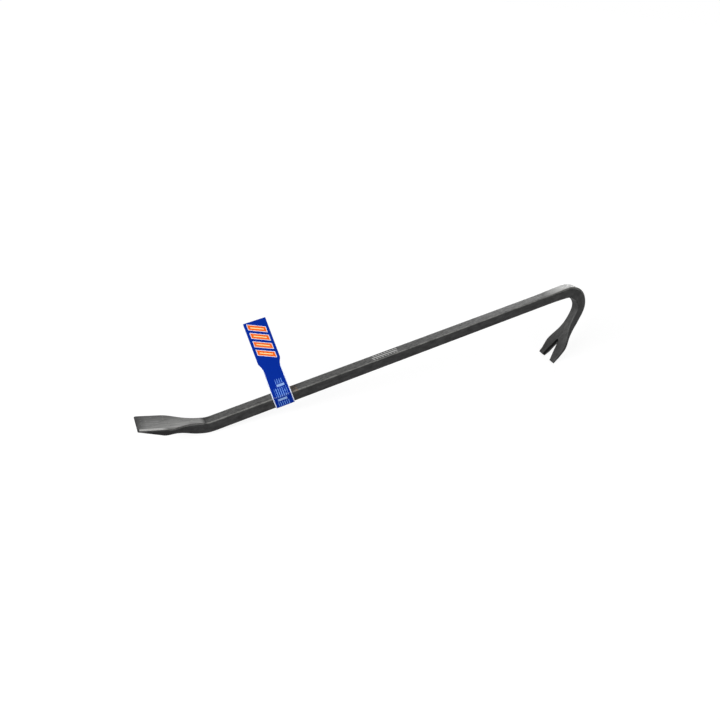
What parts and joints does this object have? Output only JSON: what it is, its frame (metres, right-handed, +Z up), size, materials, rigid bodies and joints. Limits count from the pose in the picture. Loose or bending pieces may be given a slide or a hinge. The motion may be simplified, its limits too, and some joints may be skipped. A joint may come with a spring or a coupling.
{
  "type": "crowbar",
  "caption": "Square steel pry bar with an angled flat chisel at one end, a hooked nail-pulling claw at the other, and a loose folded card sleeve round its shaft.",
  "frame": {"origin": "bottom centre of the bounding box: the surface that both claw tips and the underside of the chisel bend stand on", "axes": "+X runs along the bar from the chisel end to the hook, +Z is up, +Y completes a right-handed frame and is the side that the card sleeve's leaf leans to"},
  "size_m": [0.7272, 0.0964, 0.1303],
  "materials": {
    "bar_steel": "satin",
    "printed_card": "satin",
    "clear_adhesive": "matte"
  },
  "bodies": {
    "bar": {"forged_bar": "bar_steel"},
    "sleeve": {"sleeve_card": "printed_card", "sleeve_adhesive": "clear_adhesive"}
  },
  "joints": [
    {"name": "sleeve_slide", "type": "slide", "parent": "bar", "child": "sleeve", "axis": [0.9825, 0, 0.186], "range_m": [-0.08, 0.44]}
  ]
}
